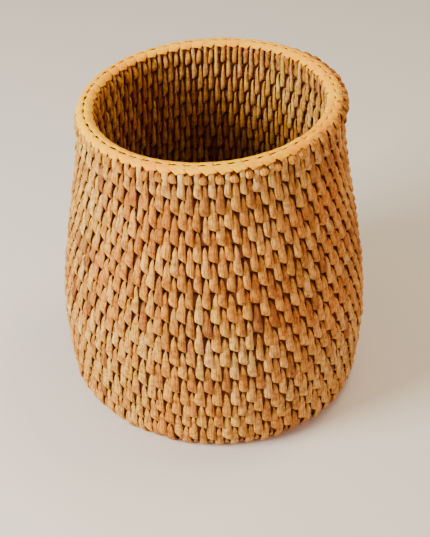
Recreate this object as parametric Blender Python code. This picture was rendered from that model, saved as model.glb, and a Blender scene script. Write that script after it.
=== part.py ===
"""A round coiled-cane wastebasket, in metres, standing on z = 0 with its axis near Z and its front at -Y.

One spiral of round rod runs flat from the middle of the base, turns up at the corner and climbs the wall to
the rim. A length of split cane binds each turn to the one before it. Every piece is laid out on the wall's
middle surface: s is the distance along the meridian from the middle of the base, n is the depth through the
wall with the outside positive, and turns counts the spiral's revolutions, with whole numbers at +X.
"""

from functools import partial
from math import ceil, cos, pi, sin

import bmesh
import bpy
import numpy as np

# Outer shape
HEIGHT = 0.2600  # top of the rim, before it leans
BELLY_RADIUS = 0.1262  # widest outer radius
BELLY_HEIGHT = 0.0660
NECK_RADIUS = 0.1030  # outer radius at the rim
FOOT_DRAW = 0.0030  # how far the wall draws in from the belly to the foot
CORNER_RADIUS = 0.0100  # of the middle surface, where the base turns up into the wall
DOME_RISE = 0.0030  # how far the middle of the base stands off the floor
DOME_RADIUS = 0.0820
LEAN = 0.0560  # slope of the rim along X, shared out evenly down the wall
SWAY = -0.0045  # how far the rim's middle stands to the side of the foot's middle

# Rod and cane
PITCH = 0.0130  # from one turn of the rod to the next
ROD_DIAMETER = 0.0098
ROD_LENGTH = 3.3000  # one rod, before the next is spliced on
CANE = 0.0018  # thickness of the binding where it is plumpest
EDGE_ROUND = 0.0010  # how much thinner the binding is at the edges of a turn
FIT_GAP = 0.0003  # between touching pieces
BUTTON_RADIUS = 0.0065  # the bound rod end that the spiral starts around

# Rim
RIM_HEIGHT = 0.0100
LASHING = 0.0026  # thickness of the plaited lashing
LAST_TURN_SHARE = 0.4  # height of the last turn at the front, in pitches
TAPER_TURNS = 3 / 16  # stretch in which the last turn is shaved away, after the front
TIP_TURNS = 1 / 16  # the last of the taper, too thin to make
START_SHARE = 0.2  # height of the shaved start of the spiral, in pitches

# Resolution
STATIONS = 16  # in one turn
ROD_SIDES = 6
MERIDIAN_STEPS = 4000

CORNER_LENGTH = CORNER_RADIUS * pi / 2
HALF_WALL = ROD_DIAMETER / 2 + FIT_GAP + CANE
CORNER_HEIGHT = HALF_WALL + CORNER_RADIUS
WEB = PITCH - ROD_DIAMETER - 3 * FIT_GAP  # cane between one turn of rod and the next
SEAM = 0.25  # the bindings' ends lie at the back

# Places of these corners in a binding's or the lashing's section
OUTER_TOP = 2
INNER_TOP = 3
INNER_CROWN = 7
OUTER_CROWN = 8

CANE_LOOK = ((0.66, 0.42, 0.20), 0.55)  # colour and roughness
ROD_LOOK = ((0.48, 0.29, 0.14), 0.65)
RIM_LOOK = ((0.78, 0.50, 0.20), 0.50)


def smooth(x):
    """Goes from 0 to 1 with flat ends as x goes from 0 to 1."""
    x = np.clip(x, 0, 1)
    return x * x * (3 - 2 * x)


def outer_radius(z):
    """Outer radius of the wall at height z."""
    draw = FOOT_DRAW * smooth((BELLY_HEIGHT - z) / (BELLY_HEIGHT - CORNER_HEIGHT))
    rise = smooth((z - BELLY_HEIGHT) / (HEIGHT - BELLY_HEIGHT))
    return BELLY_RADIUS - draw - (BELLY_RADIUS - NECK_RADIUS) * rise


def make_meridian():
    """The middle surface's s, r and z, and the s at which its corner starts."""
    corner_r = outer_radius(CORNER_HEIGHT) - HALF_WALL - CORNER_RADIUS
    base_r = np.linspace(0, corner_r, MERIDIAN_STEPS)
    base_z = HALF_WALL + DOME_RISE * smooth(1 - base_r / DOME_RADIUS)
    bend = np.linspace(0, pi / 2, MERIDIAN_STEPS)[1:]
    bend_r = corner_r + CORNER_RADIUS * np.sin(bend)
    bend_z = CORNER_HEIGHT - CORNER_RADIUS * np.cos(bend)
    wall_z = np.linspace(CORNER_HEIGHT, HEIGHT, MERIDIAN_STEPS)[1:]
    wall_r = outer_radius(wall_z) - HALF_WALL
    r = np.concatenate([base_r, bend_r, wall_r])
    z = np.concatenate([base_z, bend_z, wall_z])
    s = np.concatenate([[0], np.cumsum(np.hypot(np.diff(r), np.diff(z)))])
    return s, r, z, s[MERIDIAN_STEPS - 1]


S, R, Z, CORNER_S = make_meridian()
SLOPE_R = np.gradient(R, S)
SLOPE_Z = np.gradient(Z, S)
RIM_FOOT = S[-1] - RIM_HEIGHT
END_TURN = ceil(RIM_FOOT / PITCH) - TIP_TURNS
HOLD_TURN = END_TURN - TAPER_TURNS
START_EDGE = RIM_FOOT - PITCH * (LAST_TURN_SHARE + HOLD_TURN)  # lower edge of the spiral at turn 0


def place(s, n, turns):
    """World position of a point on or in the wall."""
    slope_r = np.interp(s, S, SLOPE_R)
    slope_z = np.interp(s, S, SLOPE_Z)
    steep = np.hypot(slope_r, slope_z)
    r = np.interp(s, S, R) + n * slope_z / steep
    z = np.interp(s, S, Z) - n * slope_r / steep
    x = r * cos(2 * pi * turns) + SWAY * (z - BELLY_HEIGHT) / HEIGHT
    y = r * sin(2 * pi * turns)
    return (x, y, z + LEAN * x * z / HEIGHT)


def lower_edge(turns):
    """Lower edge of the spiral's strip. The button bounds its start, and its end rises to the rim."""
    if turns > HOLD_TURN:
        shaved = min((turns - HOLD_TURN) / TAPER_TURNS, 1)
        return RIM_FOOT - PITCH * LAST_TURN_SHARE * (1 - shaved)
    return max(START_EDGE + PITCH * turns, BUTTON_RADIUS)


def channel(turns):
    """Foot, crown and top of the binding in s. The rod lies between foot and crown."""
    foot = lower_edge(turns) + FIT_GAP / 2
    top = lower_edge(turns + 1) - FIT_GAP / 2
    share = min((top - foot) / PITCH, 1)
    crown = min(top, foot + PITCH - FIT_GAP) - WEB * share
    return foot, crown, top


def binding_section(turns, bent=False):
    """Cane folded over the rod, open towards the turn before. Its sides are flat under the base.

    Round the corner the outer side gets one more point, to keep its straight edges off the rod.
    """
    foot, crown, top = channel(turns)
    edge = HALF_WALL - EDGE_ROUND * smooth((foot - CORNER_S) / PITCH)
    middle = (foot + top) / 2
    inner = HALF_WALL - CANE
    knee = [((foot + crown) / 2, inner)] if bent else []
    return [
        (foot, edge),
        (middle, HALF_WALL),
        (top, edge),
        (top, -edge),
        (middle, -HALF_WALL),
        (foot, -edge),
        (foot, -inner),
        (crown, -inner),
        (crown, inner),
        *knee,
        (foot, inner),
    ]


def oval(low, high, half_width):
    """Corners of an oval between two values of s."""
    middle = (low + high) / 2
    reach = (high - low) / 2
    angles = [2 * pi * k / ROD_SIDES for k in range(ROD_SIDES)]
    return [(middle - reach * cos(a), half_width * sin(a)) for a in angles]


def rod_section(turns):
    """The rod inside the binding. Where the binding thins out, the rod is shaved flat."""
    foot, crown, _ = channel(turns)
    return oval(foot, crown - FIT_GAP, ROD_DIAMETER / 2)


def lashing_section(_):
    """Plaited cane over the rim rod, open downwards."""
    foot = RIM_FOOT + FIT_GAP / 2
    top = S[-1]
    crown = top - LASHING
    edge = HALF_WALL - EDGE_ROUND
    middle = (foot + top) / 2
    inner = HALF_WALL - LASHING
    return [
        (foot, edge),
        (middle, HALF_WALL),
        (top, inner - EDGE_ROUND),
        (top, EDGE_ROUND - inner),
        (middle, -HALF_WALL),
        (foot, -edge),
        (foot, -inner),
        (crown, -inner),
        (crown, inner),
        (foot, inner),
    ]


def rim_rod_section(_):
    """Rod inside the lashing."""
    foot = RIM_FOOT + FIT_GAP / 2
    crown = S[-1] - LASHING
    return oval(foot, crown - FIT_GAP, HALF_WALL - LASHING - FIT_GAP)


def make_material(name, look):
    """Plain Principled material."""
    colour, roughness = look
    material = bpy.data.materials.new(name)
    material.use_nodes = True
    shader = material.node_tree.nodes["Principled BSDF"]
    shader.inputs["Base Color"].default_value = (*colour, 1)
    shader.inputs["Roughness"].default_value = roughness
    return material


def add_object(name, mesh_data, look):
    """Writes a bmesh into a new named object, with its faces pointing out."""
    bmesh.ops.triangulate(mesh_data, faces=mesh_data.faces[:])
    bmesh.ops.recalc_face_normals(mesh_data, faces=mesh_data.faces[:])
    mesh = bpy.data.meshes.new(name)
    mesh_data.to_mesh(mesh)
    mesh_data.free()
    mesh.materials.append(make_material(name, look))
    part = bpy.data.objects.new(name, mesh)
    bpy.context.collection.objects.link(part)
    return part


def add_twisted_quad(mesh_data, near_a, near_b, far_b, far_a, inward):
    """Two triangles, split along the same diagonal as the face of the turn beside it."""
    if inward:
        mesh_data.faces.new((near_a, near_b, far_b))
        mesh_data.faces.new((near_a, far_b, far_a))
    else:
        mesh_data.faces.new((near_a, near_b, far_a))
        mesh_data.faces.new((near_b, far_b, far_a))


def sweep(name, section, start, end, look, ring=False):
    """Runs a section along the spiral, from one station to another. A ring has no ends."""
    count = round((end - start) * STATIONS)
    turns = [start + k / STATIONS for k in range(count + (not ring))]
    rows = [[np.array(place(s, n, t)) for s, n in section(t)] for t in turns]
    if not ring:
        rows[0] = pull_back(rows[0], rows[1])
        rows[-1] = pull_back(rows[-1], rows[-2])
    mesh_data = bmesh.new()
    rings = [[mesh_data.verts.new(point) for point in row] for row in rows]
    pairs = list(zip(rings, rings[1:] + rings[:1])) if ring else list(zip(rings, rings[1:]))
    depths = [n for _, n in section(start)]
    for near, far in pairs:
        for k in range(len(near)):
            after = (k + 1) % len(near)
            add_twisted_quad(mesh_data, near[k], near[after], far[after], far[k], depths[k] > depths[after])
    if not ring:
        for row in (rings[0], rings[-1]):
            for corners in end_faces(len(row)):
                mesh_data.faces.new([row[k] for k in corners])
    return add_object(name, mesh_data, look)


def end_faces(count):
    """Corners of the faces that close an end: a rod's one, or a channel's outer side, web and inner side."""
    if count == ROD_SIDES:
        return [range(count)]
    outer_side = [*range(OUTER_CROWN, count), *range(OUTER_TOP + 1)]
    web = [OUTER_TOP, INNER_TOP, INNER_CROWN, OUTER_CROWN]
    return [outer_side, web, range(INNER_TOP, INNER_CROWN + 1)]


def pull_back(row, neighbour):
    """Moves an end section along its chords, to leave half a gap at the joint."""
    step = np.linalg.norm(np.mean(neighbour, axis=0) - np.mean(row, axis=0))
    share = FIT_GAP / 2 / step
    return [a + (b - a) * share for a, b in zip(row, neighbour)]


def make_button():
    """The bound rod end in the middle of the base, slightly crowned above and flat below."""
    mesh_data = bmesh.new()
    radius = BUTTON_RADIUS - FIT_GAP / 2
    rings = []
    for n in (HALF_WALL, -HALF_WALL + EDGE_ROUND):
        rings.append([mesh_data.verts.new(place(radius, n, k / STATIONS)) for k in range(STATIONS)])
    under, over = rings
    crown = mesh_data.verts.new(place(0, -HALF_WALL, 0))
    for k in range(STATIONS):
        after = (k + 1) % STATIONS
        mesh_data.faces.new((under[k], under[after], over[after], over[k]))
        mesh_data.faces.new((over[k], over[after], crown))
    mesh_data.faces.new(under)
    return add_object("base_start", mesh_data, CANE_LOOK)


def start_turn():
    """Station at which the shaved start of the spiral is thick enough to make."""
    turns = 0
    while lower_edge(turns + 1) - BUTTON_RADIUS < START_SHARE * PITCH:
        turns += 1 / STATIONS
    return turns


def make_bindings(start):
    """One length of split cane for each turn, numbered from the middle of the base and then up the wall."""
    end = END_TURN - TIP_TURNS
    seams = [start] + [k + SEAM for k in range(int(END_TURN) + 1) if start < k + SEAM < end] + [end]
    counts = {"base": 0, "wall": 0}
    for first, last in zip(seams, seams[1:]):
        part = "base" if lower_edge((first + last) / 2) < CORNER_S else "wall"
        counts[part] += 1
        name = f"{part}_binding_{counts[part]:02d}"
        bent = lower_edge(last + 1) > CORNER_S and lower_edge(first) < CORNER_S + CORNER_LENGTH
        sweep(name, partial(binding_section, bent=bent), first, last, CANE_LOOK)


def make_rods(start):
    """Rods spliced end to end inside the bindings."""
    end = END_TURN - TIP_TURNS
    used = 0
    number = 1
    first = turns = start
    while turns < end - 0.5 / STATIONS:
        foot, crown, _ = channel(turns)
        used += 2 * pi * np.interp((foot + crown) / 2, S, R) / STATIONS
        turns += 1 / STATIONS
        if used > ROD_LENGTH:
            sweep(f"core_rod_{number:02d}", rod_section, first, turns, ROD_LOOK)
            used = 0
            number += 1
            first = turns
    sweep(f"core_rod_{number:02d}", rod_section, first, turns, ROD_LOOK)


def main():
    for old in list(bpy.data.objects):
        bpy.data.objects.remove(old, do_unlink=True)
    start = start_turn()
    make_button()
    make_bindings(start)
    make_rods(start)
    sweep("rim_core", rim_rod_section, 0, 1, ROD_LOOK, ring=True)
    sweep("rim_lashing", lashing_section, 0, 1, RIM_LOOK, ring=True)


main()
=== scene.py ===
"""A coiled-cane wastebasket: round rods bound stitch by stitch with split cane, and a plaited rim.

The weave is laid out on the wall's middle surface. s is the distance along the meridian from the middle of
the base, n is the depth through the wall with the outside positive, and turns counts the spiral's
revolutions, with whole numbers at +X. A stitch is a closed loop of cane round two turns of the rod.
"""

from math import ceil, cos, pi, radians, sin

import bpy
import numpy as np
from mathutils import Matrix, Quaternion, Vector


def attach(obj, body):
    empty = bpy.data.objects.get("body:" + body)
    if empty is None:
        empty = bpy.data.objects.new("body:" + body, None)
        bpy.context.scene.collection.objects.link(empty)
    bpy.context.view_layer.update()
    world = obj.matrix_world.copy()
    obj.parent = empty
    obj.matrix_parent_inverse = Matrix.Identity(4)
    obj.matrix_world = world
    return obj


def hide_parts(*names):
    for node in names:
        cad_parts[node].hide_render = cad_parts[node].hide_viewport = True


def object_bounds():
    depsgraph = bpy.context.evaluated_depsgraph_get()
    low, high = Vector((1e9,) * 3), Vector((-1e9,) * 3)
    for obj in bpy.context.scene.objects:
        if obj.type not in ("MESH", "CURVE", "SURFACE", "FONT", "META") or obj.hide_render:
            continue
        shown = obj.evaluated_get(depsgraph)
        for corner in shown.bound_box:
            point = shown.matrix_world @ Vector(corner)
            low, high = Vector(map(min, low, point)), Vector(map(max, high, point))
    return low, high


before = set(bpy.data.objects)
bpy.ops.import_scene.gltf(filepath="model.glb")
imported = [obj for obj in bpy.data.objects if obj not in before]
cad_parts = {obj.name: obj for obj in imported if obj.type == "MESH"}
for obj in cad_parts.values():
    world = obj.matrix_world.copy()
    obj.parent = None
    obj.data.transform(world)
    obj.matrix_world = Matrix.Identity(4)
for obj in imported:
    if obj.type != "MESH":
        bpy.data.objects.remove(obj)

CAD_BOX = [list(corner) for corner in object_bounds()]

# Outer shape
BELLY_RADIUS = 0.1262
NECK_RADIUS = 0.1030
HEIGHT = 0.2600
BELLY_HEIGHT = 0.0660
FOOT_DRAW = 0.0030
CORNER_RADIUS = 0.0100
DOME_RISE = 0.0030
DOME_RADIUS = 0.0820
LEAN = 0.0560
SWAY = -0.0045

# Rod and cane
PITCH = 0.0130
HALF_WALL = 0.0070
ROD_HALF_WIDTH = 0.0047
ROD_FULLNESS = 0.98  # share of its turn's height that the rod fills
SPLICE = 0.0200  # overlap of two lengths of rod
BUTTON_RADIUS = 0.0065
BUTTON_HOLE = 0.0010  # the first stitches pass through here, near the button's middle
MIN_RADIUS = 0.0030
RIM_HEIGHT = 0.0100
LAST_TURN_SHARE = 0.4
TAPER_TURNS = 3 / 16
TIP_TURNS = 1 / 16
SEAM = 0.25
START_SHARE = 0.2
STATIONS = 16
STITCHES = 58.5  # in a turn of the wall; the half sets each turn's stitches between the last one's
STITCH_SPACING = 0.0120  # along the spiral of the base

MERIDIAN_STEPS = 4000
CORNER_HEIGHT = HALF_WALL + CORNER_RADIUS
HEADROOM = 0.0100  # the meridian runs on past the rim by this much
STEEPEST = 1.2  # angle of the corner from which the wall can't touch the floor

rng = np.random.default_rng(7)


def vary(spread, *shape):
    """Random deviations with this spread, as an array of this shape."""
    return spread * rng.standard_normal(shape)


def smooth(x):
    """Goes from 0 to 1 with flat ends as x goes from 0 to 1."""
    x = np.clip(x, 0, 1)
    return x * x * (3 - 2 * x)


# ---------------------------------------------------------------- the wall's surface


def outer_radius(z):
    """Outer radius of the wall at height z."""
    draw = FOOT_DRAW * smooth((BELLY_HEIGHT - z) / (BELLY_HEIGHT - CORNER_HEIGHT))
    rise = smooth((z - BELLY_HEIGHT) / (HEIGHT - BELLY_HEIGHT))
    return BELLY_RADIUS - draw - (BELLY_RADIUS - NECK_RADIUS) * rise


def make_meridian():
    """The middle surface's s, r and z, and the s at which its corner starts."""
    corner_r = outer_radius(CORNER_HEIGHT) - HALF_WALL - CORNER_RADIUS
    base_r = np.linspace(0, corner_r, MERIDIAN_STEPS)
    base_z = HALF_WALL + DOME_RISE * smooth(1 - base_r / DOME_RADIUS)
    bend = np.linspace(0, pi / 2, MERIDIAN_STEPS)[1:]
    bend_r = corner_r + CORNER_RADIUS * np.sin(bend)
    bend_z = CORNER_HEIGHT - CORNER_RADIUS * np.cos(bend)
    wall_z = np.linspace(CORNER_HEIGHT, HEIGHT + HEADROOM, MERIDIAN_STEPS)[1:]
    wall_r = outer_radius(wall_z) - HALF_WALL
    r = np.concatenate([base_r, bend_r, wall_r])
    z = np.concatenate([base_z, bend_z, wall_z])
    s = np.concatenate([[0], np.cumsum(np.hypot(np.diff(r), np.diff(z)))])
    return s, r, z, s[MERIDIAN_STEPS - 1]


S, R, Z, CORNER_S = make_meridian()
SLOPE_R = np.gradient(R, S)
SLOPE_Z = np.gradient(Z, S)
RIM_TOP = np.interp(HEIGHT, Z[2 * MERIDIAN_STEPS:], S[2 * MERIDIAN_STEPS:])
RIM_FOOT = RIM_TOP - RIM_HEIGHT
END_TURN = ceil(RIM_FOOT / PITCH) - TIP_TURNS
HOLD_TURN = END_TURN - TAPER_TURNS
START_EDGE = RIM_FOOT - PITCH * (LAST_TURN_SHARE + HOLD_TURN)
TIED_STOP = END_TURN + 0.02  # the last tied stitch comes before this turn, and the first bead after it
BEAD_STOP = END_TURN + 1 - 0.004


def radius_at(s):
    """Radius of the middle surface, kept off zero at the middle of the base."""
    return np.maximum(np.interp(s, S, R), MIN_RADIUS)


def place(s, n, turns):
    """World positions of points of the wall, as an array with the coordinates last."""
    slope_r = np.interp(s, S, SLOPE_R)
    slope_z = np.interp(s, S, SLOPE_Z)
    steep = np.hypot(slope_r, slope_z)
    r = np.interp(s, S, R) + n * slope_z / steep
    z = np.interp(s, S, Z) - n * slope_r / steep
    angle = 2 * pi * turns
    x = r * np.cos(angle) + SWAY * (z - BELLY_HEIGHT) / HEIGHT
    y = r * np.sin(angle)
    return np.stack([x, y, z + LEAN * x * z / HEIGHT], axis=-1)


def standing_room(s):
    """The most that n can be before a point passes below the plane that the basket stands on."""
    bend = np.clip((s - CORNER_S) / CORNER_RADIUS, 0, STEEPEST)
    return CORNER_HEIGHT / np.cos(bend) - CORNER_RADIUS


def lower_edge(turns):
    """Lower edge of the spiral's strip. The button bounds its start, and its end rises to the rim."""
    turns = np.asarray(turns, float)
    shaved = np.clip((turns - HOLD_TURN) / TAPER_TURNS, 0, 1)
    end = RIM_FOOT - PITCH * LAST_TURN_SHARE * (1 - shaved)
    return np.where(turns > HOLD_TURN, end, np.maximum(START_EDGE + PITCH * turns, BUTTON_RADIUS))


def start_turn():
    """Station at which the shaved start of the spiral is thick enough to be bound."""
    turns = 0
    while lower_edge(turns + 1) - BUTTON_RADIUS < START_SHARE * PITCH:
        turns += 1 / STATIONS
    return turns


START_TURN = start_turn()

# ---------------------------------------------------------------- mesh building


def add_loops(name, points, data, closed, material, replaced):
    """Builds one object from swept loops.

    points is (pieces, stations, corners, 3). data is the cane attribute, laid out the same way: across,
    along, tone. A closed sweep joins its last station to its first, and an open one is capped.
    """
    pieces, stations, corners, _ = points.shape
    grid = np.arange(pieces * stations * corners).reshape(pieces, stations, corners)
    far = np.roll(grid, -1, axis=1)
    near = grid
    if not closed:
        near, far = grid[:, :-1], grid[:, 1:]
    near_next = np.roll(near, -1, axis=2)
    far_next = np.roll(far, -1, axis=2)
    quads = np.stack([near, near_next, far_next, far], axis=-1).reshape(-1, 4)
    loops = quads.ravel()
    sizes = np.full(len(quads), 4)
    if not closed:
        caps = np.concatenate([grid[:, 0, ::-1], grid[:, -1]])
        loops = np.concatenate([loops, caps.ravel()])
        sizes = np.concatenate([sizes, np.full(len(caps), corners)])
    mesh = bpy.data.meshes.new(name)
    mesh.vertices.add(grid.size)
    mesh.vertices.foreach_set("co", points.reshape(-1).astype(np.float32))
    mesh.loops.add(len(loops))
    mesh.loops.foreach_set("vertex_index", loops.astype(np.int32))
    mesh.polygons.add(len(sizes))
    mesh.polygons.foreach_set("loop_start", (np.cumsum(sizes) - sizes).astype(np.int32))
    mesh.update(calc_edges=True)
    mesh.shade_smooth()
    layer = mesh.attributes.new("cane", "FLOAT_VECTOR", "POINT")
    layer.data.foreach_set("vector", data.reshape(-1).astype(np.float32))
    mesh.materials.append(material)
    piece = bpy.data.objects.new(name, mesh)
    bpy.context.collection.objects.link(piece)
    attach(piece, "root")
    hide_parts(*replaced)


def add_ring(name, middle, reach, half_width, stations, corners, material, replaced):
    """Builds a plain rod that closes on itself round the basket, with its middle at this s."""
    turns = np.arange(stations)[:, None] / stations
    angle = 2 * pi * np.arange(corners) / corners
    s = middle + reach * np.sin(angle) * np.ones((stations, 1))
    n = half_width * np.cos(angle) * np.ones((stations, 1))
    data = np.stack(np.broadcast_arrays(angle, turns, PLAIN_TONE), axis=-1)
    add_loops(name, place(s, n, turns)[None], data[None], True, material, [replaced])


# Stations round a stitch: x runs from -1 at its foot to 1 at its top
END_STEPS = [0.995, 0.975, 0.93, 0.86]
OUTER_X = [-1, *(-x for x in END_STEPS), -0.68, -0.46, -0.23, 0, 0.23, 0.46, 0.68, *END_STEPS[::-1], 1]
INNER_X = [*END_STEPS[1:], 0.55, 0.2, -0.2, -0.55, *(-x for x in END_STEPS[:0:-1])]
LOOP_X = np.array(OUTER_X + INNER_X)
LOOP_SIDE = np.array([0] + [1] * (len(OUTER_X) - 2) + [0] + [-1] * len(INNER_X))
END_ROUND = 7  # exponent of the loop's rounded ends
INNER_SPREAD = 0.70  # width of the stitches inside the basket, where they are pulled tight
INNER_PAINTED_SHADE = 0.05  # painted shade: the cane's tone darkens by this much inside the basket, for the shade that falls there
PLAIN_TONE = 0.5  # tone of the rods, which are all of one colour

# Section of a stitch: a rounded strip, fuller on the side away from the rod
SECTION_CORNERS = 8
SECTION_SIDES = 0.55  # exponents: the lower they are, the squarer the section
SECTION_CROWN = 0.8
CROWN_SHARE = 0.60  # share of the thickness on that fuller side
MIN_HALF_WIDTH = 0.06  # in columns

# A stitch on its column
END_GAP = 0.0006  # between a stitch and the edges of the turns that it binds
RISE = 0.0003
BEDDING = 0.45  # share of the cane's thickness between the rod and the section's middle
CLEARANCE = 0.0001  # between rod and cane
GROOVE_DEPTH = 0.0006  # the cane dips where the two rods meet
GROOVE_WIDTH = 0.0025
SIDE_LEAN = 0.16  # from the top to the foot, in columns
SLANT_START = 0.62  # the foot is cut at a slant from here down
SLANT_RAMP = 0.34

# How much the stitches differ from each other
WIDTH_RIGHT_SPREAD = 0.08
WIDTH_LEFT_SPREAD = 0.14
THICK_SPREAD = 0.08
STAND_SPREAD = 0.25
HEIGHT_SPREAD = 0.0003
LEAN_SPREAD = 0.10
CENTRE_SPREAD = 0.06
SLANT_SPREAD = 0.25

MM = 0.001

# Shapes of the four kinds of stitch, from the top (0) to the foot (1): half widths on each side of the
# column, in columns, thickness, and how far the cane stands off the rod (mm)
STITCH = {
    "down": [0.00, 0.08, 0.18, 0.30, 0.42, 0.52, 0.62, 0.74, 0.86, 0.94, 1.00],
    "right": [0.18, 0.34, 0.45, 0.50, 0.51, 0.52, 0.54, 0.55, 0.55, 0.54, 0.50],
    "left": [0.04, 0.18, 0.31, 0.40, 0.45, 0.51, 0.57, 0.60, 0.59, 0.56, 0.48],
    "thick": [1.1, 1.4, 1.7, 1.8, 1.9, 2.0, 2.2, 2.4, 2.4, 2.2, 1.7],
    "stand": [-0.4, -0.3, -0.2, -0.1, 0.0, 0.2, 0.4, 0.7, 0.9, 0.7, 0.2],
    "slant": 0.0032,
}
TIED = {
    "down": [0.00, 0.15, 0.30, 0.42, 0.54, 0.66, 0.78, 0.88, 0.95, 1.00],
    "right": [0.50, 0.50, 0.50, 0.50, 0.52, 0.54, 0.56, 0.57, 0.56, 0.53],
    "left": [0.26, 0.34, 0.38, 0.40, 0.46, 0.54, 0.60, 0.60, 0.56, 0.46],
    "thick": [1.8, 1.8, 1.8, 1.8, 1.9, 2.1, 2.2, 2.2, 2.0, 1.5],
    "stand": [0.0, 0.2, 0.3, 0.2, 0.1, 0.3, 0.5, 0.6, 0.5, 0.1],
    "slant": 0.0032,
}
BEAD = {
    "down": [0.00, 0.25, 0.50, 0.75, 0.90, 1.00],
    "right": [0.42, 0.50, 0.52, 0.50, 0.42, 0.28],
    "left": [0.46, 0.56, 0.60, 0.58, 0.48, 0.30],
    "thick": [1.6, 2.3, 2.8, 2.8, 2.4, 1.4],
    "stand": [-1.2, 0.3, 0.8, 0.9, 0.6, 0.0],
    "slant": 0.0006,
}
KNUCKLE = {
    "down": [0.00, 0.12, 0.25, 0.38, 0.50, 0.64, 0.80, 0.92, 1.00],
    "right": [0.34, 0.54, 0.60, 0.52, 0.38, 0.36, 0.44, 0.42, 0.26],
    "left": [0.34, 0.54, 0.62, 0.54, 0.40, 0.40, 0.48, 0.46, 0.28],
    "thick": [1.6, 2.6, 3.0, 2.6, 1.9, 1.8, 2.1, 2.0, 1.3],
    "stand": [-0.6, 0.6, 1.2, 0.7, 0.1, 0.0, 0.3, 0.3, 0.0],
    "slant": 0.0020,
}
TIED_TOP = 0.62  # share of the rim's height that the tied stitches reach
TIED_RISE = 0.0012  # at the knuckles they reach up further and stand out
TIED_PROUD = 0.0004
BEAD_GAP = 0.0016  # under the beads
BEAD_TOP = 0.0028  # above the rim's foot
KNUCKLE_START = 0.81  # the knuckles grow from here over the next value, and fade likewise
KNUCKLE_GROWTH = 0.09
KNUCKLE_STOP = 1.12
KNUCKLE_FADE = 0.12
KNUCKLE_TURNS = 0.26  # the stretch of long wraps with a knuckle, past the end of the spiral
KNUCKLE_LIFT = 0.7
KNUCKLE_RISE = 0.0056
KNUCKLE_WIDENING = 0.30
KNUCKLE_PROUD = 0.0020


def stitch_points(turns, low, high, column, kind, tone, proud=0.0):
    """Corner points and cane attribute of stitches between s = low and s = high at these turns.

    column is half the distance between a turn's neighbouring stitches, kind is one of the shapes above, and
    proud is how far each stitch is moved outwards.
    """
    each = (len(turns), 1)
    inside = LOOP_SIDE < 0
    down = (1 - LOOP_X) / 2
    spread = np.where(inside, INNER_SPREAD, 1)
    right = np.interp(down, kind["down"], kind["right"]) * (1 + vary(WIDTH_RIGHT_SPREAD, *each)) * spread
    left = np.interp(down, kind["down"], kind["left"]) * (1 + vary(WIDTH_LEFT_SPREAD, *each)) * spread
    thick = MM * np.interp(down, kind["down"], kind["thick"]) * (1 + vary(THICK_SPREAD, *each))
    stand = MM * np.interp(down, kind["down"], kind["stand"]) * (1 + vary(STAND_SPREAD, *each))
    stand = stand + np.reshape(proud, (-1, 1)) * np.where(inside, -1, 1)
    middle = (low + high)[:, None] / 2 + vary(HEIGHT_SPREAD, *each)
    reach = (high - low)[:, None] / 2 - END_GAP
    s = middle + RISE + reach * LOOP_X
    groove = low[:, None] + PITCH
    dip = GROOVE_DEPTH * np.exp(-(((s - groove) / GROOVE_WIDTH) ** 2))
    face = (1 - np.abs(LOOP_X) ** END_ROUND) ** (1 / END_ROUND)
    n = LOOP_SIDE * (ROD_HALF_WIDTH + BEDDING * thick + stand + CLEARANCE - dip) * face
    tangent_s = np.roll(s, -1, axis=1) - np.roll(s, 1, axis=1)
    tangent_n = np.roll(n, -1, axis=1) - np.roll(n, 1, axis=1)
    length = np.hypot(tangent_s, tangent_n)
    tangent_s, tangent_n = tangent_s / length, tangent_n / length
    angle = 2 * pi * np.arange(SECTION_CORNERS) / SECTION_CORNERS
    across = np.sign(np.cos(angle)) * np.abs(np.cos(angle)) ** SECTION_SIDES
    height = np.where(np.sin(angle) > 0, CROWN_SHARE, 1 - CROWN_SHARE)
    height = height * np.sign(np.sin(angle)) * np.abs(np.sin(angle)) ** SECTION_CROWN
    lean = (SIDE_LEAN + vary(LEAN_SPREAD, *each)) * (down - 0.5)
    centre = (right - left) / 2 + lean + vary(CENTRE_SPREAD, *each)
    half = np.maximum((right + left) / 2, MIN_HALF_WIDTH)
    side = (centre[..., None] + half[..., None] * across) * column[:, None, None]
    foot = smooth((down - SLANT_START) / SLANT_RAMP)
    slant = (kind["slant"] * (1 + vary(SLANT_SPREAD, *each)) * foot)[..., None] * (1 - across) / 2
    lift = thick[..., None] * height
    point_s = s[..., None] - lift * tangent_n[..., None] + slant
    point_n = np.minimum(n[..., None] + lift * tangent_s[..., None], standing_room(point_s))
    point_turns = turns[:, None, None] + side / (2 * pi * radius_at(s)[..., None])
    step_s = np.diff(s, axis=1, prepend=s[:, :1])
    step_n = np.diff(n, axis=1, prepend=n[:, :1])
    along = np.cumsum(np.hypot(step_s, step_n), axis=1)
    # painted shade: the inner side of each loop is pushed towards the darker end of the tone ramp
    shade = tone[:, None] + INNER_PAINTED_SHADE * inside
    data = np.stack(np.broadcast_arrays(side, along[..., None], shade[..., None]), axis=-1)
    return place(point_s, point_n, point_turns), data


def add_stitches(name, sets, material, replaced):
    """Builds one object from sets of stitches, each a pair of corner points and cane attribute."""
    points, data = (np.concatenate(arrays) for arrays in zip(*sets))
    add_loops(name, points, data, True, material, [replaced])


# ---------------------------------------------------------------- materials

FIBRE_ACROSS = 1300.0  # fibres' noise cells to a metre of the cane's width
FIBRE_ALONG = 70.0
TONE_SHIFT = 37.0  # moves the fibres' noise apart between stitches of different tones


def new_material(name, base, roughness, specular=0.25):
    """Principled material and its node tree, with the constants on the shader's own sockets."""
    material = bpy.data.materials.new(name)
    material.use_nodes = True
    shader = material.node_tree.nodes["Principled BSDF"]
    shader.inputs["Base Color"].default_value = (*base, 1)
    shader.inputs["Roughness"].default_value = roughness
    shader.inputs["Specular IOR Level"].default_value = specular
    return material


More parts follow.
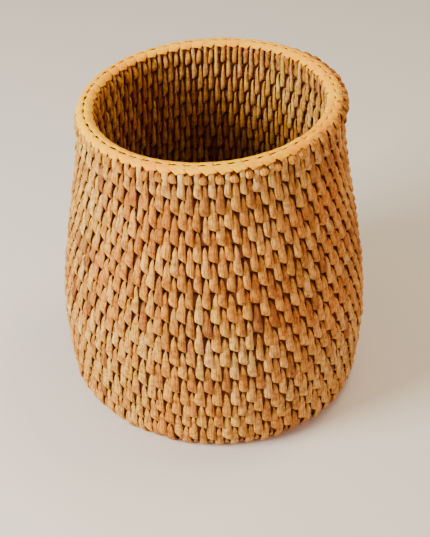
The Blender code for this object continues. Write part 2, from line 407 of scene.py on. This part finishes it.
def add_node(tree, kind, **inputs):
    """New node with some of its inputs set: a value, or another node's output socket."""
    node = tree.nodes.new(kind)
    for name, value in inputs.items():
        socket = node.inputs[int(name[1:])] if name[1:].isdigit() else node.inputs[name]
        if isinstance(value, bpy.types.NodeSocket):
            tree.links.new(value, socket)
        else:
            socket.default_value = value
    return node


def times(tree, value, factor):
    """Output socket of a value times a factor."""
    node = add_node(tree, "ShaderNodeMath", _0=value, _1=factor)
    node.operation = "MULTIPLY"
    return node.outputs[0]


def add_noise(tree, vector, scale, detail, roughness):
    """Output socket of a noise texture."""
    noise = add_node(
        tree, "ShaderNodeTexNoise", Vector=vector, Scale=scale, Detail=detail, Roughness=roughness
    )
    return noise.outputs["Fac"]


def add_ramp(tree, factor, stops):
    """Colour ramp with these (position, colour) stops."""
    ramp = add_node(tree, "ShaderNodeValToRGB", Fac=factor)
    elements = ramp.color_ramp.elements
    while len(elements) < len(stops):
        elements.new(0.5)
    for element, (position, colour) in zip(elements, stops):
        element.position = position
        element.color = (*colour, 1)
    return ramp.outputs["Color"]


def mix_colours(tree, factor, low, high, blend="MIX"):
    """Mixed colour of two sockets or colours."""
    node = tree.nodes.new("ShaderNodeMix")
    node.data_type = "RGBA"
    node.blend_type = blend
    for index, value in ((0, factor), (6, low), (7, high)):
        if isinstance(value, bpy.types.NodeSocket):
            tree.links.new(value, node.inputs[index])
        else:
            node.inputs[index].default_value = value
    return node.outputs[2]


def make_cane(name, tones, roughness, streak=0.7, mottle=0.8, bump=0.8, specular=0.14):
    """Split cane: a tone for each stitch, fibres along it, darker specks and blotches, and a waxy skin."""
    material = new_material(name, tones[0][1], roughness, specular)
    tree = material.node_tree
    shader = tree.nodes["Principled BSDF"]
    cane = tree.nodes.new("ShaderNodeAttribute")
    cane.attribute_name = "cane"
    parts = add_node(tree, "ShaderNodeSeparateXYZ", _0=cane.outputs["Vector"])
    across, along, tone = parts.outputs
    fibre_at = add_node(
        tree,
        "ShaderNodeCombineXYZ",
        _0=times(tree, across, FIBRE_ACROSS),
        _1=times(tree, along, FIBRE_ALONG),
        _2=times(tree, tone, TONE_SHIFT),
    )
    spot = tree.nodes.new("ShaderNodeTexCoord").outputs["Object"]
    fibre = add_noise(tree, fibre_at.outputs[0], 1.0, 3.0, 0.6)
    blotch = add_noise(tree, spot, 230.0, 5.0, 0.7)
    patch = add_noise(tree, spot, 14.0, 2.0, 0.5)
    colour = add_ramp(tree, tone, tones)
    dark_fibre = add_ramp(tree, fibre, [(0.36, (0.34, 0.20, 0.09)), (0.58, (1, 1, 1))])
    colour = mix_colours(tree, streak, colour, mix_colours(tree, 1.0, colour, dark_fibre, "MULTIPLY"))
    stain = add_ramp(tree, blotch, [(0.40, (0.50, 0.32, 0.18)), (0.55, (1, 1, 1))])
    colour = mix_colours(tree, mottle, colour, mix_colours(tree, 1.0, colour, stain, "MULTIPLY"))
    warm = add_ramp(tree, patch, [(0.38, (0.96, 0.78, 0.60)), (0.62, (1, 1, 1))])
    colour = mix_colours(tree, 1.0, colour, warm, "MULTIPLY")
    tree.links.new(colour, shader.inputs["Base Color"])
    rough = add_node(tree, "ShaderNodeMapRange", _0=fibre, _3=roughness + 0.12, _4=roughness - 0.10)
    tree.links.new(rough.outputs[0], shader.inputs["Roughness"])
    ridges = add_node(tree, "ShaderNodeBump", Strength=bump, Distance=0.0010, Height=fibre)
    tree.links.new(ridges.outputs[0], shader.inputs["Normal"])
    return material


def make_rod_skin_with_painted_shade():
    """Unsplit rattan: matt, with long faint fibres, and dark partly of its own and partly as painted shade
    for the gaps where it shows.
    """
    material = new_material("rattan_rod_with_painted_shade", (0.18, 0.07, 0.025), 0.75)
    tree = material.node_tree
    shader = tree.nodes["Principled BSDF"]
    spot = tree.nodes.new("ShaderNodeTexCoord").outputs["Object"]
    grain = add_noise(tree, spot, 220.0, 4.0, 0.6)
    # painted shade: the rods show only deep in the gaps between stitches, so their colour is darkened past
    # the rattan's own to stand for the shade there
    colour = add_ramp(tree, grain, [(0.35, (0.12, 0.04, 0.015)), (0.65, (0.26, 0.10, 0.035))])
    tree.links.new(colour, shader.inputs["Base Color"])
    ridges = add_node(tree, "ShaderNodeBump", Strength=0.3, Distance=0.0004, Height=grain)
    tree.links.new(ridges.outputs[0], shader.inputs["Normal"])
    return material


WALL_TONES = [
    (0.00, (0.81, 0.57, 0.20)),
    (0.30, (0.77, 0.49, 0.11)),
    (0.55, (0.70, 0.38, 0.07)),
    (0.75, (0.56, 0.29, 0.055)),
    (0.88, (0.44, 0.20, 0.045)),
    (1.00, (0.31, 0.12, 0.03)),
]
BEAD_TONES = [
    (0.00, (0.74, 0.42, 0.06)),
    (0.50, (0.66, 0.35, 0.05)),
    (1.00, (0.52, 0.25, 0.04)),
]
RIM_TONES = [
    (0.00, (1.00, 0.53, 0.0)),
    (0.35, (1.00, 0.58, 0.0)),
    (0.70, (1.00, 0.48, 0.0)),
    (1.00, (1.00, 0.53, 0.0)),
]


# ---------------------------------------------------------------- pieces


def stitch_turns():
    """Turn of every stitch, from the start of the spiral to the end of the rim's beads."""
    turns = [START_TURN + 0.02]
    while turns[-1] < END_TURN + 1:
        s = float(lower_edge(turns[-1])) + PITCH / 2
        spacing = 1 / STITCHES
        if s < CORNER_S:
            spacing = max(spacing, STITCH_SPACING / (2 * pi * float(radius_at(s))))
        turns.append(turns[-1] + spacing)
    return np.array(turns)


def column_at(turns):
    """Half the distance between neighbouring stitches, along the middle surface."""
    s = lower_edge(turns)
    wall = pi * radius_at(s) / STITCHES
    return np.where(s < CORNER_S, np.maximum(wall, STITCH_SPACING / 2), wall)


def knuckle(turns):
    """1 at the right of the rim, where the wraps ride up on it as knuckles, and 0 elsewhere."""
    past = (turns - 0.5) % 1 + 0.5
    growth = smooth((past - KNUCKLE_START) / KNUCKLE_GROWTH)
    return growth * (1 - smooth((past - KNUCKLE_STOP) / KNUCKLE_FADE))


def turn_ranges():
    """Name of each binding node and its first and last turn, as the frame has them."""
    end = END_TURN - TIP_TURNS
    inner = [k + SEAM for k in range(int(END_TURN) + 1) if START_TURN < k + SEAM < end]
    seams = [START_TURN, *inner, end]
    counts = {"base": 0, "wall": 0}
    for first, last in zip(seams, seams[1:]):
        part = "base" if lower_edge(first + 0.5) < CORNER_S else "wall"
        counts[part] += 1
        yield f"{part}_binding_{counts[part]:02d}", first, last


STRETCHES = 3  # of cane of one tone, in a turn
STRETCH_SHARE = 0.45


def tones(turns, low, high):
    """Tone of each stitch: stretches of cane differ, and so do the stitches of one stretch."""
    stretches = rng.random(int(END_TURN * STRETCHES) + 2 * STRETCHES)
    own = stretches[(turns * STRETCHES).astype(int)]
    mixed = STRETCH_SHARE * own + (1 - STRETCH_SHARE) * rng.random(len(turns))
    return low + (high - low) * mixed


def make_stitches(cane):
    """A piece for each length of split cane, with all its stitches."""
    every = stitch_turns()
    for node, first, last in turn_ranges():
        if last > END_TURN - 2 * TIP_TURNS:
            last = TIED_STOP
        turns = every[(every >= first) & (every < last)]
        low = np.where(turns - 1 < START_TURN, BUTTON_HOLE, lower_edge(turns - 1))
        tied = turns + 1 > END_TURN
        tied_top = RIM_FOOT + TIED_TOP * RIM_HEIGHT + TIED_RISE * knuckle(turns)
        high = np.where(tied, tied_top, lower_edge(turns + 1))
        column = column_at(turns)
        proud = np.where(tied, TIED_PROUD * knuckle(turns), 0)
        sets = []
        for chosen, kind, tone in ((~tied, STITCH, (0, 1)), (tied, TIED, (0, 0.4))):
            if chosen.any():
                own = [array[chosen] for array in (turns, low, high, column)]
                sets.append(stitch_points(*own, kind, tones(own[0], *tone), proud[chosen]))
        add_stitches(node.replace("binding", "stitches"), sets, cane, node)


def make_beads(cane):
    """Wraps of the last turn, between the stitches that are tied to the rim.

    Most are short beads. Those just past the end of the spiral are long, with a knuckle at the top.
    """
    every = stitch_turns()
    turns = every[(every > TIED_STOP) & (every < BEAD_STOP)]
    ride = knuckle(turns)
    shortest = RIM_FOOT - PITCH * LAST_TURN_SHARE * (1 - KNUCKLE_LIFT * ride)
    low = BEAD_GAP + np.minimum(lower_edge(turns - 1), shortest)
    high = RIM_FOOT + BEAD_TOP + KNUCKLE_RISE * ride
    column = column_at(turns - 1) * (1 + KNUCKLE_WIDENING * ride)
    long = turns < END_TURN + KNUCKLE_TURNS
    sets = []
    for chosen, kind in ((~long, BEAD), (long, KNUCKLE)):
        own = [array[chosen] for array in (turns, low, high, column)]
        sets.append(stitch_points(*own, kind, tones(own[0] * 0, 0.0, 1.0), KNUCKLE_PROUD * ride[chosen]))
    add_stitches("rim_beads", sets, cane, "rim_lashing")


def make_rods(skin):
    """The round core rods, spliced end to end."""
    stations = 64
    corners = 12
    turns = np.arange(START_TURN, END_TURN, 1 / stations)
    low = lower_edge(turns)
    reach = np.minimum(lower_edge(turns + 1) - low, 2 * PITCH) / 2
    middle = low + reach
    length = np.cumsum(2 * pi * radius_at(middle) / stations)
    angle = 2 * pi * np.arange(corners) / corners
    s = middle[:, None] + ROD_FULLNESS * reach[:, None] * np.sin(angle)
    n = ROD_HALF_WIDTH * np.cos(angle) * np.ones_like(s)
    points = place(s, n, turns[:, None])
    data = np.stack(np.broadcast_arrays(angle, length[:, None], PLAIN_TONE), axis=-1)
    rods = sorted(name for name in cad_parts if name.startswith("core_rod"))
    share = length[-1] / len(rods)
    for number, node in enumerate(rods):
        own = (length > number * share - SPLICE) & (length <= (number + 1) * share)
        name = node.replace("core", "spiral")
        add_loops(name, points[None, own], data[None, own], False, skin, [node])


# Rim: a rod under a plait of two families of strands. They start under each other on top, run forwards and
# end in scallops, the outer family outside and the inner one inside
RIM_STRANDS = 58
RIM_STATIONS = 20
RIM_SECTION = 8
RIM_MIDDLE = RIM_FOOT + 0.0050
RIM_REACH = 0.0042
RIM_HALF_WIDTH = 0.0064
RIM_CURVE = (RIM_REACH + RIM_HALF_WIDTH) / 2
RIM_ROD_MIDDLE = RIM_FOOT + 0.0030
RIM_ROD_HALF_WIDTH = 0.0038
RIM_LEAD = 1.5  # strands that one strand passes on its way
RIM_OFFSET = 0.12  # from the middle of a tied stitch to the middle of its strand's scallop, in strands
RIM_BEND = 2.4  # exponents of how a strand runs forwards and how it runs down
RIM_FALL = 1.2
RIM_LIFT = 0.5  # share of the way down the outside that the strands leave to the knuckles
RIM_OUTER = (66, 5)  # degrees up from the outside, where the strands of each family start and end
RIM_INNER = (103, 166)
STRAND_AT = [0.0, 0.25, 0.40, 0.50, 0.72, 0.95, 1.0]
STRAND_HALF_WIDTH = [1.8, 2.1, 3.8, 5.4, 3.8, 2.5, 1.6]  # mm
STRAND_HALF_THICK = 0.0006
STRAND_SIDES = 0.75  # exponent of the strand's section
TUCK_START = 0.0014  # how deep a strand's ends are pushed in
TUCK_END = 0.0010


def rim_strands(turns, start, stop):
    """Strands of the plait, each from one angle round the rim to another, in degrees up from the outside.

    turns are the places of the stitches that are tied to the rim.
    """
    count = len(turns)
    period = 2 * pi * float(radius_at(RIM_MIDDLE)) / RIM_STRANDS
    t = np.linspace(0, 1, RIM_STATIONS)
    stop = stop + (start - stop) * RIM_LIFT * knuckle(turns)[:, None] * (stop < start)
    q = RIM_CURVE * np.radians(start + (stop - start) * t ** RIM_FALL)
    p = period * (RIM_OFFSET - RIM_LEAD * (1 - t) ** RIM_BEND) * np.ones_like(q)
    step_p, step_q = np.gradient(p, axis=1), np.gradient(q, axis=1)
    step = np.hypot(step_p, step_q)
    tuck = -TUCK_END * smooth((t - 0.90) / 0.10) - TUCK_START * smooth((0.25 - t) / 0.25)
    half = MM * np.interp(t, STRAND_AT, STRAND_HALF_WIDTH)
    angle = 2 * pi * np.arange(RIM_SECTION) / RIM_SECTION
    across = np.sign(np.cos(angle)) * np.abs(np.cos(angle)) ** STRAND_SIDES
    side = half[:, None] * across * (1 + vary(0.06, count, 1, 1))
    side = side * np.sign(np.reshape(stop, (-1, 1, 1)) - start)
    lift = tuck[:, None] + STRAND_HALF_THICK * np.sin(angle) + vary(0.00008, count, 1, 1)
    point_p = p[..., None] - side * (step_q / step)[..., None] + vary(0.0003, count, 1, 1)
    point_q = q[..., None] + side * (step_p / step)[..., None]
    n = (RIM_HALF_WIDTH + lift) * np.cos(point_q / RIM_CURVE)
    s = RIM_MIDDLE + (RIM_REACH + lift) * np.sin(point_q / RIM_CURVE)
    at = turns[:, None, None] + point_p / (2 * pi * radius_at(s))
    tone = rng.random((count, 1, 1))
    along = np.cumsum(step, axis=1)[..., None]
    data = np.stack(np.broadcast_arrays(side, along, tone), axis=-1)
    return place(s, n, at), data


def make_rim(cane, skin):
    """The rim's rod and its plait."""
    add_ring(
        "rim_rod", RIM_ROD_MIDDLE, RIM_REACH, RIM_ROD_HALF_WIDTH, 128, 12, skin, "rim_core"
    )
    every = stitch_turns()
    front = every[np.searchsorted(every, HOLD_TURN)]
    tied = front + np.arange(RIM_STRANDS) / RIM_STRANDS
    outer = rim_strands(tied, *RIM_OUTER)
    inner = rim_strands(tied, *RIM_INNER)
    points = np.concatenate([outer[0], inner[0]])
    data = np.concatenate([outer[1], inner[1]])
    add_loops("rim_plait", points, data, False, cane, ["rim_lashing"])


KNOT_MIDDLE = 0.0036
KNOT_REACH = 0.0028
KNOT_HALF_WIDTH = 0.0040


def make_knot(skin):
    """The shaved rod end curled up in the middle of the base."""
    add_ring("base_knot", KNOT_MIDDLE, KNOT_REACH, KNOT_HALF_WIDTH, 32, 10, skin, "base_start")


# ---------------------------------------------------------------- stage

CAMERA_TARGET = (0.0005, 0, 0.0944)
CAMERA_DISTANCE = 1.0581
CAMERA_PITCH = radians(37.2)
CAMERA_ROLL = -0.004
LENS = 83.9
SENSOR = 36


def add_area(name, at, target, size, watts, colour):
    """Soft rectangular lamp aimed at a point."""
    lamp = bpy.data.lights.new(name, "AREA")
    lamp.size = size
    lamp.energy = watts
    lamp.color = colour
    holder = bpy.data.objects.new(name, lamp)
    holder.location = at
    holder.rotation_euler = (Vector(target) - Vector(at)).to_track_quat("-Z", "Y").to_euler()
    bpy.context.collection.objects.link(holder)


def make_stage():
    """Pale floor, key light from the left, weak lights from the right and above, and the camera."""
    bpy.ops.mesh.primitive_plane_add(size=12, location=(0, 0, CAD_BOX[0][2]))
    floor = bpy.context.object
    floor.name = "floor"
    floor.data.materials.append(new_material("pale_floor", (0.70, 0.69, 0.67), 0.8))
    world = bpy.data.worlds.new("studio")
    world.use_nodes = True
    sky = world.node_tree.nodes["Background"]
    sky.inputs["Color"].default_value = (1.0, 0.90, 0.78, 1)
    sky.inputs["Strength"].default_value = 0.58
    bpy.context.scene.world = world
    middle = (0, 0, HEIGHT / 2)
    add_area("key", (-1.15, -0.60, 0.75), middle, 0.60, 50, (1.0, 0.93, 0.80))
    add_area("fill", (0.90, -1.00, 0.60), middle, 0.90, 6.6, (1.0, 0.18, 0.07))
    add_area("top", (0.34, 0.14, 1.25), (-0.04, 0, 0.20), 0.40, 9, (1.0, 0.80, 0.42))

    camera = bpy.data.cameras.new("camera")
    camera.sensor_width = SENSOR
    camera.lens = LENS
    holder = bpy.data.objects.new("camera", camera)
    bpy.context.collection.objects.link(holder)
    target = Vector(CAMERA_TARGET)
    holder.location = target + CAMERA_DISTANCE * Vector((0, -cos(CAMERA_PITCH), sin(CAMERA_PITCH)))
    aim = (target - holder.location).to_track_quat("-Z", "Y")
    holder.rotation_euler = (aim @ Quaternion((0, 0, 1), CAMERA_ROLL)).to_euler()
    bpy.context.scene.camera = holder


def main():
    cane = make_cane("split_cane", WALL_TONES, 0.55)
    bead_cane = make_cane("bead_cane", BEAD_TONES, 0.55)
    rim_cane = make_cane("rim_cane", RIM_TONES, 0.55, streak=0.25, mottle=0.15, bump=0.35, specular=0.04)
    skin = make_rod_skin_with_painted_shade()
    make_stitches(cane)
    make_beads(bead_cane)
    make_rods(skin)
    make_rim(rim_cane, skin)
    make_knot(skin)
    make_stage()


main()
